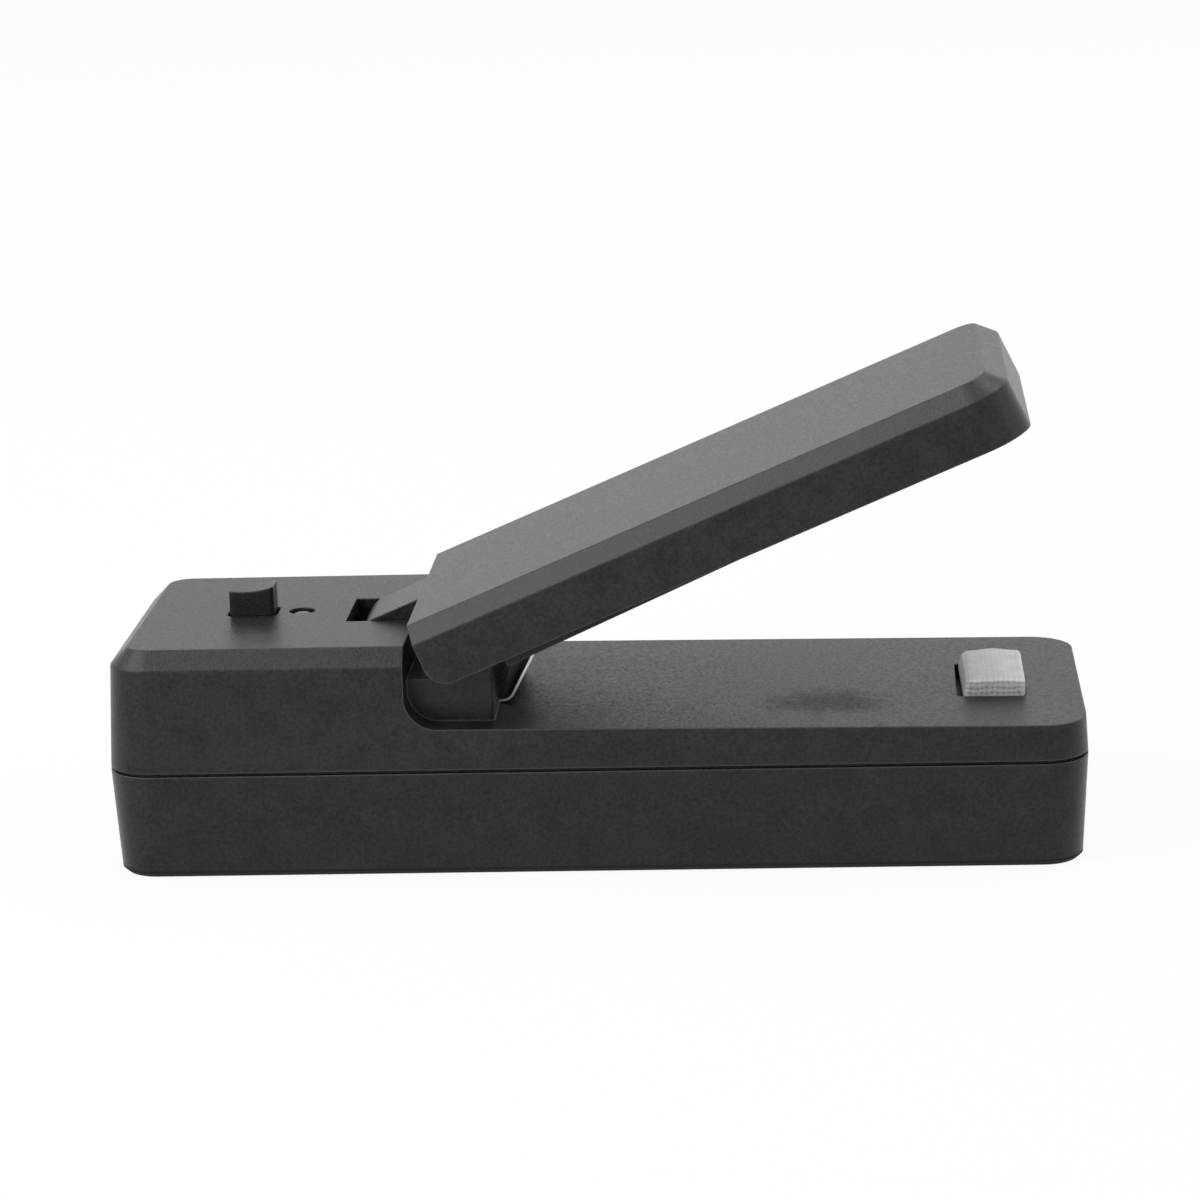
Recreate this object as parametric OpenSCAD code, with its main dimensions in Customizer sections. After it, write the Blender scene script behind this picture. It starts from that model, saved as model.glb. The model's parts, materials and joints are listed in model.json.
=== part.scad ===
// Handheld bag sealer: a battery-heated bar on a flat base, and a sprung press arm over it.
// The origin is under the middle of the base. +X points to the heated end, +Z is up.
// The arm's pieces are drawn closed and level, then turned up about the hinge pin.

/* [Body] */
// Length of the body
body_l = 100; // [96:0.5:116]
// Width of the body at the parting line
body_w = 35.4; // [34:0.2:46]
// Height of the parting line above the base
split_h = 10.9; // [10.4:0.1:13]
// Height of the rear deck
rear_h = 23.7; // [23:0.1:28]
// Height of the low deck under the arm, at the body's middle
deck_h = 15.3; // [14.9:0.1:16.5]
// Fall of the low deck towards the body's end, in degrees
deck_fall = 0.5; // [0:0.1:1]
// Length of the rear housing
rear_l = 31; // [30:0.5:38]
// Radius of the upright corners
corner_r = 4.7; // [4:0.1:6]
// Mould draft of the side walls, in degrees
draft = 3.1; // [1:0.1:4]
// Bevel round the rear deck and the arm
bevel = 1.8; // [0.8:0.1:2]
// Radius of the bevels' edges
edge_r = 0.3; // [0.1:0.05:0.6]
// Size of the bevel round the base
base_bevel = 0.5; // [0.3:0.1:1.5]
// Radius where the rear housing meets the low deck
recess_r = 3.3; // [1:0.1:4]
// Wall thickness of both shells
wall = 1.8; // [1.4:0.1:2]
// Height of the shadow groove at the parting line
seam_h = 0.35; // [0.2:0.05:0.5]
// Depth of the shadow groove
seam_d = 0.5; // [0.3:0.05:0.8]
// Height of the locating lip on the lower shell
lip_h = 1.3; // [0.8:0.1:1.6]
// Thickness of the locating lip
lip_t = 0.8; // [0.6:0.05:1]

/* [Nose] */
// Length of the nose block in front of the rear housing
nose_l = 8.8; // [7:0.1:10]
// Gap between the nose block's sides and the arm's walls
nose_side = 1.7; // [0.6:0.1:4]
// Gap between the nose block's top and the arm's ceiling
nose_gap = 2.35; // [2.2:0.05:3]
// Radius of the nose block's front corners
nose_r = 0.3; // [0.2:0.1:2]
// Height of the ridge along the nose block's front
nose_ridge = 1.2; // [0.4:0.1:1.5]
// Thickness of the nose block's front, which clamps the leaf spring
nose_front = 3.2; // [2.8:0.1:4]

/* [Hinge] */
// Distance of the pin behind the rear housing's front wall
pin_set = 3.4; // [3.2:0.1:4]
// Depth of the pin below the rear deck
pin_drop = 2; // [1.9:0.05:2.2]
// Diameter of the hinge pin
pin_d = 2; // [1.6:0.1:2.4]
// Running clearance round the pin, on the radius
pin_play = 0.05; // [0.03:0.01:0.1]
// Radius of the knuckle
knuckle_r = 2.35; // [2.2:0.05:2.6]
// Width of the tongue
tongue_w = 9.1; // [7:0.1:12]
// Thickness of the tongue
tongue_t = 3.1; // [2.6:0.1:3.3]
// Clearance beside the tongue
tongue_play = 0.3; // [0.25:0.05:0.5]
// Room behind the knuckle in the slot
slot_back = 1.4; // [0.6:0.1:2]
// Clearance round the knuckle
knuckle_gap = 0.4; // [0.35:0.05:0.6]
// Thickness of each hinge cheek
cheek_t = 3; // [2:0.1:4]
// Reach of the cheeks below the knuckle
cheek_reach = 0.8; // [0.6:0.1:1.2]
// Angle of the open arm
open_deg = 22.7; // [15:0.1:25]

/* [Arm] */
// Gap between the low deck and the closed arm's lower edge
arm_lift = 1.9; // [1.6:0.05:2.4]
// Distance of the arm's lower edge inside the body's sides
arm_side = 0.05; // [0:0.05:0.6]
// Gap between the rear housing and the closed arm
arm_gap = 1.8; // [1.6:0.1:2.4]
// Distance of the closed arm's end behind the body's end
arm_short = 1.9; // [1:0.1:4]
// Thickness of the arm's side walls
arm_wall = 1.75; // [1.5:0.05:1.9]
// Thickness of the arm's top
arm_roof = 1.8; // [1.4:0.1:1.9]
// Radius of the arm's lower rear corners
arm_heel_r = 2.4; // [1:0.1:3]
// Thickness of the plate under the arm
plate_t = 1.6; // [1.5:0.05:1.8]
// Depth of the plate's face inside the arm's lower edge
plate_set = 0.1; // [0:0.05:0.3]
// Depth of the plate's wedge at its rear end
wedge_t = 1.2; // [0.8:0.1:1.4]
// Gap between the wedge's thin end and the press pad
wedge_gap = 1; // [0.5:0.1:6]
// Gap between the plate and the arm's walls
plate_gap = 0.2; // [0.15:0.05:0.4]
// Gap between the nose block and the plate, closed
plate_back = 0.6; // [0.5:0.1:4]
// Gap between the nose block and the arm's end wall, closed
end_gap = 0.5; // [0.4:0.1:0.8]
// Diameter of the bosses for the plate's screws
arm_boss_d = 4.4; // [4:0.1:5]
// Distance of the plate's screws inside its sides
arm_screw_side = 5.1; // [4:0.1:6]
// Distance of the rear screws from the plate's rear edge
arm_screw_rear = 7; // [5:0.5:10]
// Gap between the front screws' bosses and the press pad
arm_screw_set = 4.8; // [1:0.1:6]

/* [Leaf spring] */
// Thickness of the spring strip
leaf_t = 0.25; // [0.2:0.05:0.5]
// Width of the spring strip
leaf_w = 15; // [8:0.2:16]
// Slope of the strip's free limb, in degrees
leaf_deg = 62; // [54:1:70]
// Inner radius of its bend
leaf_bend = 1.2; // [0.8:0.1:1.6]
// Length of its root in the nose block
leaf_root = 2.6; // [1.6:0.1:2.7]
// Distance of its bend in front of the nose block
leaf_set = 0.3; // [0.2:0.1:1.4]
// Height of the root above the low deck
leaf_lift = 0.15; // [0.1:0.05:0.4]
// Clearance of the root in its slot
leaf_play = 0.05; // [0.03:0.01:0.1]
// Gap between the strip's end and the open arm
leaf_gap = 0.3; // [0.25:0.05:0.5]

/* [Heating bar] */
// Distance of the bar's middle from the body's end
heater_inset = 9.2; // [8.8:0.1:12]
// Length of the wrapped bar along the body
heater_l = 6.4; // [5:0.1:7]
// Distance of the wrapped bar's ends inside the body's sides
heater_side = 11.7; // [11:0.1:13]
// Height of the bar above the low deck
heater_rise = 1.9; // [1.7:0.05:2]
// Thickness of the cloth wrap
wrap_t = 0.4; // [0.3:0.05:0.6]
// Rise of the wrap's crown
wrap_crown = 0.3; // [0.2:0.05:0.5]
// Depth of the wrap's hem below the low deck's surface
wrap_hem = 1.2; // [0.8:0.1:1.4]
// Thickness of the resistance strip
ribbon_t = 0.2; // [0.15:0.05:0.3]
// Width of the resistance strip
ribbon_w = 2.5; // [1.5:0.1:4]
// Gap round the bar in the low deck
heater_gap = 0.35; // [0.3:0.05:1]
// Distance of the opening's middle behind the bar's middle
hole_back = 0.25; // [0:0.05:0.25]
// Thickness of the block's foot under the low deck
foot_t = 1.6; // [1.2:0.1:2]
// Reach of the foot past the opening
foot_reach = 1; // [0.6:0.1:1.4]
// Depth of the block below its foot
block_drop = 3; // [2.4:0.1:4]
// Reach of the strip's legs below the foot
leg_reach = 0.9; // [0.6:0.1:1.2]
// Length of the crimped terminals
crimp_l = 1.8; // [1.2:0.1:2.4]
// Wall of the crimped terminals
crimp_t = 0.3; // [0.2:0.05:0.4]
// Gap over and under the crimped terminals
crimp_gap = 0.2; // [0.1:0.05:0.4]
// Gap between the closed press pad and the bar
pad_gap = 0.3; // [0.3:0.05:0.5]
// Width of the press pad's face past the bar, on each side
pad_margin = 0.8; // [0.6:0.1:1.2]
// Length of the press pad's face past the bar, on each end
pad_reach = 1.8; // [1:0.1:3]
// Thickness of the press pad's flange
pad_flange = 1.1; // [0.8:0.1:1.4]
// Lap of the press pad's flange on the plate
pad_lap = 1.4; // [1:0.1:1.8]
// Radius of the press pad's upright edges
pad_r = 0.5; // [0.3:0.1:0.8]

/* [Button and light] */
// Distance of the button from the body's rear end
button_x = 13.6; // [12.6:0.1:14.4]
// Length of the button
button_l = 4.7; // [4:0.1:5.4]
// Width of the button
button_w = 3.5; // [3:0.1:5]
// Height of the button above the rear deck, at its middle
button_rise = 2.6; // [1.6:0.1:3.4]
// Slope of the button's top, in degrees
button_slope = 4.5; // [0:0.5:8]
// Radius of the dish in the button's top
button_dish = 11; // [8:0.5:40]
// Radius of the button's upright edges
button_r = 0.5; // [0.3:0.1:0.8]
// Travel of the button
button_travel = 0.8; // [0.5:0.1:1]
// Clearance round the button
button_gap = 0.3; // [0.25:0.05:0.5]
// Reach of the button's flange under the deck
button_flange = 0.7; // [0.5:0.1:1]
// Thickness of the button's flange
button_flange_t = 0.9; // [0.7:0.1:1.2]
// Length of the button's stem
stem_l = 1.4; // [1:0.1:2]
// Diameter of the button's stem
stem_d = 2.4; // [1.8:0.1:2.6]
// Gap between the button's flange and the light pipe's collar
light_set = 0.4; // [0.3:0.1:0.8]
// Diameter of the light pipe
light_d = 2.3; // [1.8:0.1:2.8]
// Clearance round the light pipe in the deck
light_gap = 0.25; // [0.1:0.05:0.4]
// Width of the light pipe's collar past its stem
collar_reach = 0.5; // [0.4:0.1:0.8]
// Thickness of the light pipe's collar
collar_t = 1; // [0.6:0.1:1.4]
// Depth of the light pipe's top below the rear deck
light_drop = 0.1; // [0:0.05:0.4]

/* [Electronics] */
// Thickness of the board
board_t = 1.2; // [0.8:0.1:1.6]
// Gap between the board and the rear wall
board_gap = 0.9; // [0.5:0.1:1.4]
// Distance of the board's end behind the hinge slot
board_end = 1.6; // [1:0.1:3]
// Gap between the board's sides and the walls
board_side = 2; // [1.4:0.1:3]
// Distance of the board's screws from its end
board_screw_end = 2.6; // [2.4:0.1:3]
// Distance of the board's screws inside its sides
board_screw_side = 4.2; // [3.8:0.1:5]
// Diameter of the bosses for the board's screws
board_boss_d = 4.2; // [3.6:0.1:4.6]
// Length of the larger chips
chip_l = 5; // [4:0.1:6]
// Width of the larger chips
chip_w = 3.8; // [3:0.1:4.4]
// Height of the larger chips
chip_h = 1.5; // [1:0.1:2]
// Distance of the upper chips from the board's middle line
chip_y = 7; // [6.6:0.1:7.4]
// Length of the small parts under the board
small_l = 3; // [2:0.1:4]
// Height of the small parts under the board
small_h = 1.1; // [0.8:0.1:1.4]
// Gap between the board's tab and the bosses beside it
tab_gap = 0.5; // [0.3:0.1:1.5]
// Length of the board's tab
tab_l = 7; // [6.6:0.1:7.2]
// Length of the socket
usb_l = 7.3; // [6.6:0.1:8]
// Width of the socket
usb_w = 8.94; // [8.94:0.01:9.4]
// Height of the socket
usb_h = 3.26; // [3.16:0.01:3.5]
// Sheet thickness of the socket
usb_t = 0.3; // [0.25:0.05:0.4]
// Clearance round the socket in the wall
usb_gap = 0.25; // [0.15:0.05:0.4]
// Radius of the socket's corners
usb_r = 1.28; // [1:0.01:1.4]
// Thickness of the socket's back
usb_back = 1; // [0.6:0.1:1.4]
// Thickness of the contact blade in the socket
blade_t = 0.7; // [0.6:0.05:0.9]
// Gap between the blade and the socket's side
blade_gap = 0.85; // [0.7:0.05:1]
// Depth of the blade's tip behind the socket's mouth
blade_set = 0.8; // [0.5:0.1:1.4]
// Depth of the socket's mouth behind the wall's face
usb_set = 0.4; // [0.2:0.1:0.8]
// Width of the switch body
switch_w = 6; // [5:0.1:6.2]
// Height of the switch body
switch_h = 3.5; // [3:0.1:4]
// Radius of the switch body's upright edges
switch_r = 0.4; // [0.2:0.1:0.8]
// Thickness of the switch body's floor
switch_floor = 0.8; // [0.5:0.1:1]
// Diameter of the switch plunger
plunger_d = 3.4; // [2.6:0.1:3.6]
// Height of the plunger above the switch body
plunger_rise = 1.2; // [1.1:0.1:1.6]
// Running gap round the plunger
plunger_gap = 0.1; // [0.08:0.01:0.15]
// Length of the light source along the body
led_l = 1.6; // [1:0.1:2]
// Width of the light source
led_w = 2.8; // [1.6:0.1:3.2]
// Height of the light source
led_h = 1; // [0.6:0.1:1.4]
// Room between the cell and the heating bar's block
cell_front = 9.8; // [8:0.1:20]
// Room beside the cell, which holds a lead
cell_side = 2.8; // [2.2:0.1:5]
// Room over the cell
cell_top = 2.3; // [1.8:0.1:4]
// Radius of the cell's upright edges
cell_r = 1.5; // [0.8:0.1:2.4]
// Length of the folded seal at the cell's end
cap_l = 3; // [2:0.1:4]
// Distance of the folded seal inside the cell's sides
cap_inset = 1; // [0.6:0.1:2]
// Step from the cell's faces to the folded seal
cap_step = 1.6; // [1:0.1:2]
// Thickness of the foam under the cell
pad_t = 0.8; // [0.5:0.1:1.2]
// Distance of the foam inside the cell's ends and sides
foam_inset = 4; // [2:0.5:6]
// Distance of the cell in front of the rear housing's front wall
cell_set = 1.5; // [1:0.5:4]
// Diameter of the leads
lead_d = 1.2; // [0.8:0.1:1.3]
// Distance of the cell's leads from the middle line
lead_spread = 3; // [1.5:0.1:4]

/* [Screws] */
// Thread diameter of the body screws
screw_d = 2; // [1.6:0.1:2.2]
// Head diameter of the body screws
head_d = 3.6; // [3:0.1:4]
// Head height of the body screws
head_h = 1.3; // [1:0.1:1.5]
// Depth of the heads inside the base
head_set = 0.6; // [0.4:0.1:1]
// Diameter of the body's screw bosses
boss_d = 5.2; // [5:0.1:5.6]
// Distance of the bosses' axes inside the body's ends and sides
boss_inset = 5.9; // [5.8:0.1:6.4]
// Gap between the body screws' ends and the low deck's underside
screw_short = 0.5; // [0.3:0.1:1]
// Width of the slots in the screws' heads
drive_w = 0.4; // [0.3:0.05:0.6]
// Length of the slots in the screws' heads
drive_l = 1.6; // [1.2:0.1:2]
// Thread diameter of the small screws
mini_d = 1.6; // [1.2:0.1:1.8]
// Head diameter of the small screws
mini_head_d = 2.8; // [2.4:0.1:3]
// Head height of the small screws
mini_head_h = 0.9; // [0.7:0.05:1]
// Length of the small screws under their heads
mini_l = 4; // [3.4:0.1:5.2]
// Depth of the small heads inside the arm's plate
mini_set = 0.1; // [0:0.05:0.2]
// Clearance round shanks and heads, on the radius
screw_gap = 0.15; // [0.1:0.05:0.25]
// Clearance round threads, on the radius
thread_gap = 0.05; // [0.03:0.01:0.1]

/* [Hidden] */
$fn = 64;

// Overlap of cutting shapes past a face
cut = 1;
// Room between neighbours that only have to clear each other
room = 0.3;

// Body
rear_x = -body_l / 2;
front_x = body_l / 2;
half_w = body_w / 2;
slope = tan(draft);
low_inset = slope * split_h;
up_inset = slope * (rear_h - split_h);
low_in_w = half_w - low_inset - wall;
low_in_l = body_l / 2 - low_inset - wall;
up_in_w = half_w - up_inset - wall;
up_in_l = body_l / 2 - up_inset - wall;
in_r = corner_r - wall;
wall_x = rear_x + rear_l;
rear_roof = rear_h - wall;
deck_roof = deck_h - wall;
nose_x = wall_x + nose_l;
leaf_base = deck_at(nose_x) + leaf_lift;

// Hinge
pin_x = wall_x - pin_set;
pin_z = rear_h - pin_drop;
slot_half = tongue_w / 2 + tongue_play;
slot_x = pin_x - knuckle_r - slot_back;
pin_l = 2 * (slot_half + cheek_t);
knuckle_clear = knuckle_r + knuckle_gap;
cheek_low = pin_z - knuckle_r - cheek_reach;

// Arm, closed
arm_w = body_w - 2 * arm_side;
arm_x0 = wall_x + arm_gap;
arm_x1 = front_x - arm_short;
arm_top = pin_z + knuckle_r;
arm_low = deck_h + arm_lift;
arm_ceiling = arm_top - arm_roof;
arm_in_w = arm_w / 2 - arm_wall;
nose_w = 2 * (arm_in_w - nose_side);
nose_top = arm_ceiling - nose_gap;
plate_low = arm_low + plate_set;
plate_top = plate_low + plate_t;
plate_x0 = nose_x + plate_back;
plate_x1 = arm_x1 - arm_wall - plate_gap;
plate_half = arm_in_w - plate_gap;
wedge_low = plate_low - wedge_t;
arm_screw_y = plate_half - arm_screw_side;

// Heating bar
heater_x = front_x - heater_inset;
heater_w = body_w - 2 * heater_side;
heater_deck = deck_at(heater_x);
heater_top = heater_deck + heater_rise;
block_top = heater_top - wrap_t - wrap_crown / 3 - ribbon_t;
block_l = heater_l - 2 * wrap_t;
ribbon_span = heater_w - 2 * wrap_t;
block_w = ribbon_span - 2 * ribbon_t;
hole_l = heater_l + 2 * heater_gap;
hole_w = heater_w + 2 * heater_gap;
foot_low = deck_roof - foot_t;
block_low = foot_low - block_drop;
leg_low = foot_low - leg_reach;
crimp_low = block_low + crimp_gap;
crimp_high = foot_low - crimp_gap;
pad_low = heater_top + pad_gap;
pad_top = plate_top + pad_flange;
pad_l = heater_l + 2 * pad_margin;
pad_w = heater_w + 2 * pad_reach;
wedge_x1 = heater_x - pad_l / 2 - plate_gap - wedge_gap;
wedge_deg = atan(wedge_t / (wedge_x1 - plate_x0));
arm_screw_x = [plate_x0 + arm_screw_rear, heater_x - pad_l / 2 - arm_screw_set - arm_boss_d / 2];

// Board and what stands on it
flange_top = rear_roof - room;
flange_low = flange_top - button_flange_t;
plunger_top = flange_low - stem_l;
switch_top = plunger_top - plunger_rise;
board_top = switch_top - switch_h;
board_low = board_top - board_t;
board_w = 2 * (up_in_w - board_side);
board_x0 = rear_x + up_inset + wall + board_gap;
board_x1 = slot_x - board_end;
tab_x1 = board_x0 + tab_l;
button_at = rear_x + button_x;
light_at = button_at + button_l / 2 + button_flange + light_set + collar_reach + light_d / 2;
switch_low = board_top + switch_floor;
plunger_low = switch_low + room + button_travel;
board_screw_x = board_x1 - board_screw_end;
board_screw_y = board_w / 2 - board_screw_side;
usb_x0 = rear_x + slope * (board_top + usb_h / 2 - split_h) + usb_set;

// Cell and leads
cell_x0 = wall_x + cell_set;
cell_x1 = heater_x - block_l / 2 - cell_front;
cell_l = cell_x1 - cell_x0;
cell_w = 2 * (low_in_w - cell_side);
cell_z0 = wall + pad_t;
cell_z1 = deck_roof - cell_top;
cell_t = cell_z1 - cell_z0;
lead_r = lead_d / 2;
lead_y = low_in_w - lead_r - room;
lead_z = (crimp_low + crimp_high) / 2;
lead_slack = 0.01;
lead_start_y = ribbon_span / 2 + crimp_t + lead_r;
lead_end_x = board_x1 - lead_d;

// Screws
boss_x = body_l / 2 - boss_inset;
boss_y = half_w - boss_inset;
tab_w = 2 * (boss_y - boss_d / 2 - tab_gap);
screw_seat = head_set + head_h;
screw_end = deck_roof - screw_short;
mini_seat = plate_low + mini_set + mini_head_h;

// Colours
shell_colour = [0.17, 0.17, 0.18];
steel_colour = [0.72, 0.72, 0.70];

// Half outline of a lower edge: a drafted side with a small bevel at its foot
module foot_outline(r, height) {
    polygon([[0, 0], [r - height * slope - base_bevel, 0], [r - (height - base_bevel) * slope, base_bevel],
        [r, height], [0, height]]);
}

// Half outline of an upper edge: a drafted side with a bevelled brow
module bevel_outline(r, low, high) {
    foot = [r, low];
    brow = [r - (high - bevel - low) * slope, high - bevel];
    crown = [brow[0] - bevel, high];
    middle = [0, high];
    difference() {
        polygon([[0, low], foot, brow, crown, middle]);
        corner_web(foot, brow, crown, edge_r);
        corner_web(brow, crown, middle, edge_r);
    }
}

// What lies between the corner b, with sides to a and c, and a round that touches both sides
module corner_web(a, b, c, r) {
    back = unit(a - b);
    ahead = unit(c - b);
    inward = unit(back + ahead);
    half_angle = acos(back * ahead) / 2;
    run = r / tan(half_angle);
    centre = b + inward * r / sin(half_angle);
    difference() {
        polygon([b - inward * r, b + back * run, centre, b + ahead * run]);
        translate(centre) circle(r);
    }
}

// Solid with rounded upright corners whose outside follows the half outline
module ring_body(half_l, half_w, r, low, high) {
    run_l = half_l - r;
    run_w = half_w - r;
    translate([-run_l, 0, 0]) rotate([90, 0, 90]) linear_extrude(2 * run_l) union() {
        translate([-run_w, low]) square([2 * run_w, high - low]);
        for (side = [0, 1]) mirror([side, 0]) translate([run_w, 0]) children();
    }
    for (end = [0, 1]) mirror([end, 0, 0]) {
        translate([run_l, run_w, 0]) rotate([90, 0, 0]) linear_extrude(2 * run_w) children();
        for (side = [0, 1]) mirror([0, side, 0])
            translate([run_l, run_w, 0]) rotate_extrude(angle = 90) children();
    }
}

// Upright box with rounded corners, from low to high
module round_box(half_l, half_w, r, low, high) {
    translate([0, 0, low]) linear_extrude(high - low) union() {
        square([2 * half_l, 2 * (half_w - r)], center = true);
        square([2 * (half_l - r), 2 * half_w], center = true);
        for (x = [-1, 1], y = [-1, 1])
            translate([x * (half_l - r), y * (half_w - r)]) circle(r);
    }
}

// Box between two heights, centred across the body
module slab(x0, x1, width, low, high) {
    translate([x0, -width / 2, low]) cube([x1 - x0, width, high - low]);
}

// Upright post
module post(x, y, d, low, high) {
    translate([x, y, low]) cylinder(d = d, h = high - low);
}

// Bar across the body, round about the hinge's axis
module cross_bar(r, length) {
    translate([pin_x, 0, pin_z]) rotate([90, 0, 0]) cylinder(r = r, h = length, center = true);
}

// Turns the closed arm up to where it rests
module raised() {
    translate([pin_x, 0, pin_z]) rotate([0, -open_deg, 0]) translate([-pin_x, 0, -pin_z]) children();
}

// Height of the low deck along the body
function deck_at(x) = deck_h - x * tan(deck_fall);

// Side view of the upper shell: the rear housing, the sloping low deck and the round between them
module side_outline() {
    corner = [wall_x, deck_at(wall_x)];
    tip = [front_x + cut, deck_at(front_x + cut)];
    polygon([[rear_x - cut, split_h - cut], [tip[0], split_h - cut], tip, corner,
        [wall_x, rear_h + cut], [rear_x - cut, rear_h + cut]]);
    corner_web([wall_x, rear_h], corner, tip, recess_r);
}

module upper_outside() {
    intersection() {
        ring_body(body_l / 2, half_w, corner_r, split_h, rear_h) bevel_outline(corner_r, split_h, rear_h);
        translate([0, body_w, 0]) rotate([90, 0, 0]) linear_extrude(2 * body_w) side_outline();
    }
}

// Places the four body screws
module at_bosses() {
    for (x = [-1, 1], y = [-1, 1]) translate([x * boss_x, y * boss_y, 0]) children();
}

// Places the arm plate's screws, on the closed arm
module at_arm_screws() {
    for (x = arm_screw_x, y = [-1, 1]) translate([x, y * arm_screw_y, 0]) children();
}

// Places the board's screws
module at_board_screws() {
    for (y = [-1, 1]) translate([board_screw_x, y * board_screw_y, 0]) children();
}

module lower_shell() {
    lip_out_w = low_in_w + lip_t;
    lip_out_l = low_in_l + lip_t;
    rib_h = block_low - wall;
    color(shell_colour) difference() {
        union() {
            difference() {
                union() {
                    ring_body(body_l / 2, half_w, corner_r, 0, split_h)
                        foot_outline(corner_r, split_h);
                    round_box(lip_out_l, lip_out_w, in_r + lip_t, split_h - cut, split_h + lip_h);
                }
                round_box(low_in_l, low_in_w, in_r, wall, split_h + lip_h + cut);
            }
            intersection() {
                at_bosses() cylinder(d = boss_d, h = split_h);
                round_box(low_in_l + wall / 2, low_in_w + wall / 2, in_r, wall / 2, split_h);
            }
            // End stops of the cell
            slab(cell_x0 - room - wall, cell_x0 - room, cell_w / 2, wall / 2, cell_z0 + cell_t / 2);
            slab(cell_x1 + room, cell_x1 + room + wall, cell_w / 2, wall / 2, cell_z0 + cell_t / 2);
            // Rest under the heating bar's block
            slab(heater_x - block_l / 2, heater_x + block_l / 2, block_w / 2, wall / 2, wall + rib_h);
        }
        at_bosses() {
            translate([0, 0, -cut]) cylinder(r = head_d / 2 + screw_gap, h = screw_seat + cut);
            cylinder(r = screw_d / 2 + screw_gap, h = split_h + lip_h + cut);
        }
    }
}

module upper_shell() {
    cheek_x1 = wall_x - wall / 2;
    color(shell_colour) difference() {
        union() {
            difference() {
                union() {
                    upper_outside();
                    nose_outside();
                }
                shell_hollow();
            }
            // Hinge cheeks under the rear deck
            for (side = [0, 1]) mirror([0, side, 0])
                translate([slot_x - wall, slot_half, cheek_low])
                    cube([cheek_x1 - slot_x + wall, cheek_t, rear_roof + wall / 2 - cheek_low]);
            intersection() {
                at_bosses() translate([0, 0, split_h]) cylinder(d = boss_d, h = rear_h - split_h);
                shell_filling();
            }
            at_board_screws() post(0, 0, board_boss_d, board_top, rear_roof + wall / 2);
        }
        // Hinge slot, open to the front, and its pin's bores
        slab(slot_x, wall_x + cut, 2 * slot_half, rear_roof - cut, rear_h + cut);
        slab(pin_x, wall_x + cut, 2 * slot_half, nose_top, rear_h + cut);
        cross_bar(knuckle_clear, 2 * slot_half);
        cross_bar(pin_d / 2, pin_l);
        // Button, light and heating bar
        translate([button_at, 0, 0]) round_box(button_l / 2 + button_gap, button_w / 2 + button_gap,
            button_r + button_gap, rear_roof - cut, rear_h + cut);
        post(light_at, 0, light_d + 2 * light_gap, rear_roof - cut, rear_h + cut);
        translate([heater_x - hole_back, 0, 0])
            round_box(hole_l / 2, hole_w / 2, heater_gap, deck_roof - cut, deck_h + cut);
        // Leaf spring's root
        slab(nose_x - leaf_root, nose_x + cut, leaf_w + 2 * room,
            leaf_base - leaf_play, leaf_base + leaf_t + leaf_play);
        // Charging socket
        usb_outline(usb_gap, rear_x - cut, board_x0 + cut);
        // Lip rebate and shadow groove of the parting line
        difference() {
            round_box(low_in_l + lip_t + screw_gap, low_in_w + lip_t + screw_gap, in_r + lip_t, split_h - cut,
                split_h + lip_h + screw_gap);
            at_bosses() cylinder(d = boss_d, h = rear_h);
        }
        difference() {
            slab(-body_l, body_l, 2 * body_w, split_h - cut, split_h + seam_h);
            round_box(body_l / 2 - seam_d, half_w - seam_d, corner_r - seam_d, 0, rear_h);
        }
        // Threaded holes
        at_bosses() post(0, 0, screw_d + 2 * thread_gap, split_h - cut, screw_end + room);
        at_board_screws() post(0, 0, mini_d + 2 * thread_gap, board_top - cut, board_low + mini_l + room);
    }
}

// Nose block in front of the rear housing
module nose_outside() {
    half_l = (nose_x - wall_x + wall) / 2;
    ridge_top = nose_top + nose_ridge;
    ridge_x = nose_x - 2 * nose_ridge;
    back_x = wall_x - 2 * wall;
    intersection() {
        translate([nose_x - half_l, 0, 0]) round_box(half_l, nose_w / 2, nose_r, deck_roof, ridge_top + cut);
        translate([0, nose_w, 0]) rotate([90, 0, 0]) linear_extrude(2 * nose_w)
            polygon([[back_x, deck_roof - cut], [nose_x + cut, deck_roof - cut], [nose_x + cut, ridge_top],
                [ridge_x, ridge_top], [ridge_x - nose_ridge, nose_top], [back_x, nose_top]]);
    }
}

// Hollow of the upper shell: under the low deck, under the rear deck and in the nose block
module shell_hollow() {
    round_box(up_in_l, up_in_w, in_r, split_h - cut, deck_roof);
    intersection() {
        round_box(up_in_l, up_in_w, in_r, split_h - cut, rear_roof);
        slab(rear_x, wall_x - wall, body_w, split_h - cut, rear_h);
    }
    slab(wall_x - wall - cut, nose_x - nose_front, nose_w - 2 * wall, deck_roof - cut, nose_top - wall);
}

// Space that the upper shell's bosses may fill, up to its roofs
module shell_filling() {
    intersection() {
        round_box(up_in_l + wall / 2, up_in_w + wall / 2, in_r, split_h, rear_roof + wall / 2);
        union() {
            slab(rear_x, wall_x - wall / 2, body_w, split_h, rear_h);
            slab(rear_x, front_x, body_w, split_h, deck_roof + wall / 2);
        }
    }
}

module hinge_pin() {
    color(steel_colour) cross_bar(pin_d / 2 - pin_play / 2, pin_l - 2 * pin_play);
}

// The strip's bend ends here, at the middle of its thickness
function leaf_bend_end() = [
    nose_x + leaf_set + (leaf_bend + leaf_t / 2) * sin(leaf_deg),
    leaf_base + leaf_t + leaf_bend - (leaf_bend + leaf_t / 2) * cos(leaf_deg)];

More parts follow.
